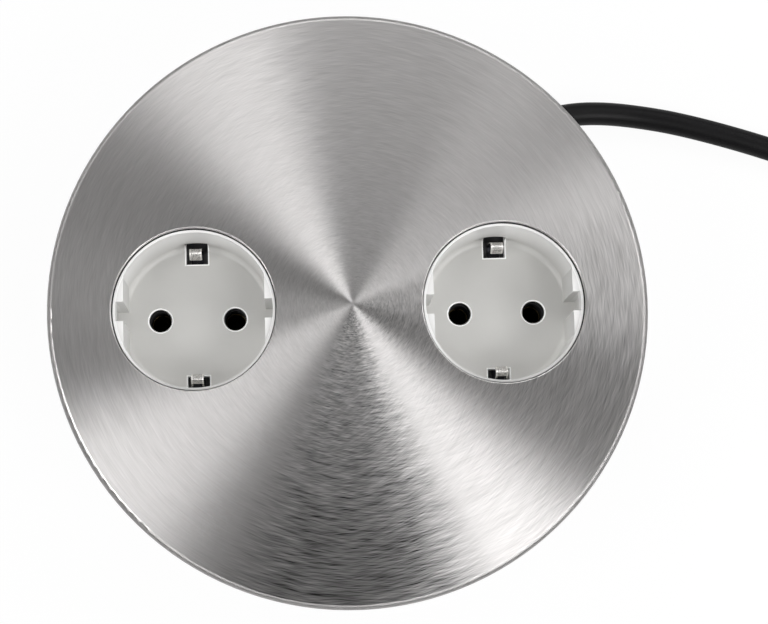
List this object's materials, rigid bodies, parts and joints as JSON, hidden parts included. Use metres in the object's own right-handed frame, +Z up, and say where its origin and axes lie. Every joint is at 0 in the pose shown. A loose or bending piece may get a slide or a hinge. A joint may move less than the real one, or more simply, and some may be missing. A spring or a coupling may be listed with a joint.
{
  "type": "built-in double socket",
  "caption": "Round built-in double socket with a turning brushed-steel cover, clamping dogs under its flange and a black supply lead with an earthed plug.",
  "frame": {"origin": "middle of the underside of the bottom cover", "axes": "+Z up out of the worktop along the cover's turning axis, +X from the left socket to the right one, +Y to the back, where the lead leaves"},
  "size_m": [0.3576, 0.155, 0.0608],
  "materials": {
    "brushed_cover": "circular brushing round the middle",
    "white_polymer": "smooth satin moulding",
    "black_polymer": "fine satin moulding",
    "grey_polymer": "plain satin moulding",
    "black_rubber": "matt",
    "black_cord": "satin sheath",
    "zinc_steel": "zinc plated",
    "spring_steel": "bright rolled",
    "cast_zinc": "as cast, tumbled",
    "brass": "stamped, bright",
    "nickel": "nickel plated",
    "brown_sleeve": "satin",
    "green_yellow_sleeve": "satin, striped along its length",
    "blue_sleeve": "satin"
  },
  "bodies": {
    "housing": {"pivot_bush": "brass", "cup_spring": "spring_steel", "face_plate": "black_polymer", "face_plate_screws": "zinc_steel", "socket_insert_left": "white_polymer", "socket_insert_right": "white_polymer", "contact_carrier": "black_polymer", "carrier_screws": "zinc_steel", "line_contacts": "brass", "neutral_contacts": "brass", "sleeve_springs": "spring_steel", "earth_clip_left": "spring_steel", "earth_clip_right": "spring_steel", "earth_bar": "brass", "housing": "black_polymer", "housing_floor": "black_polymer", "housing_flange": "black_polymer", "chamber_wall": "black_polymer", "clamp_cage_front": "black_polymer", "clamp_cage_back": "black_polymer", "flange_gasket": "black_rubber", "bottom_cover": "black_polymer", "bottom_cover_screws": "zinc_steel", "terminal_block": "grey_polymer", "terminal_screws": "zinc_steel", "wire_line": "brown_sleeve", "wire_earth": "green_yellow_sleeve", "wire_neutral": "blue_sleeve", "cord_saddle": "grey_polymer", "cord_saddle_screws": "zinc_steel", "strain_relief": "black_rubber", "cord_sheath_end": "black_cord", "cord_free": "black_cord", "cord_coil": "black_cord", "cord_to_plug": "black_cord", "plug_body": "black_rubber", "plug_pins": "nickel", "plug_earth_strips": "nickel"},
    "cover": {"cover_disc": "brushed_cover", "slide_ring": "black_polymer", "pivot_stud": "zinc_steel", "retaining_ring": "spring_steel"},
    "clamp_screw_front": {"clamp_screw_front": "zinc_steel"},
    "clamp_nut_front": {"clamp_nut_front": "brass"},
    "clamp_dog_front": {"clamp_dog_front": "cast_zinc"},
    "clamp_screw_back": {"clamp_screw_back": "zinc_steel"},
    "clamp_nut_back": {"clamp_nut_back": "brass"},
    "clamp_dog_back": {"clamp_dog_back": "cast_zinc"}
  },
  "joints": [
    {"name": "cover_turn", "type": "hinge", "parent": "housing", "child": "cover", "pos_m": [0, 0, 0.0596], "axis": [0, 0, 1], "range_deg": [0, 90]},
    {"name": "clamp_screw_front_turn", "type": "hinge", "parent": "housing", "child": "clamp_screw_front", "pos_m": [0, -0.052, 0.054], "axis": [0, 0, -1], "range_deg": [0, 10286]},
    {"name": "clamp_nut_front_lift", "type": "slide", "parent": "housing", "child": "clamp_nut_front", "axis": [0, 0, 1], "range_m": [0, 0.02]},
    {"name": "clamp_dog_front_swing", "type": "hinge", "parent": "clamp_nut_front", "child": "clamp_dog_front", "pos_m": [0, -0.052, 0.0195], "axis": [0, 0, -1], "range_deg": [0, 90]},
    {"name": "clamp_screw_back_turn", "type": "hinge", "parent": "housing", "child": "clamp_screw_back", "pos_m": [0, 0.052, 0.054], "axis": [0, 0, -1], "range_deg": [0, 10286]},
    {"name": "clamp_nut_back_lift", "type": "slide", "parent": "housing", "child": "clamp_nut_back", "axis": [0, 0, 1], "range_m": [0, 0.02]},
    {"name": "clamp_dog_back_swing", "type": "hinge", "parent": "clamp_nut_back", "child": "clamp_dog_back", "pos_m": [0, 0.052, 0.0195], "axis": [0, 0, -1], "range_deg": [0, 90]}
  ],
  "couplings": [
    {"joint": "clamp_screw_front_turn", "follows": "clamp_nut_front_lift", "rad_per_m": 8976},
    {"joint": "clamp_screw_back_turn", "follows": "clamp_nut_back_lift", "rad_per_m": 8976}
  ]
}
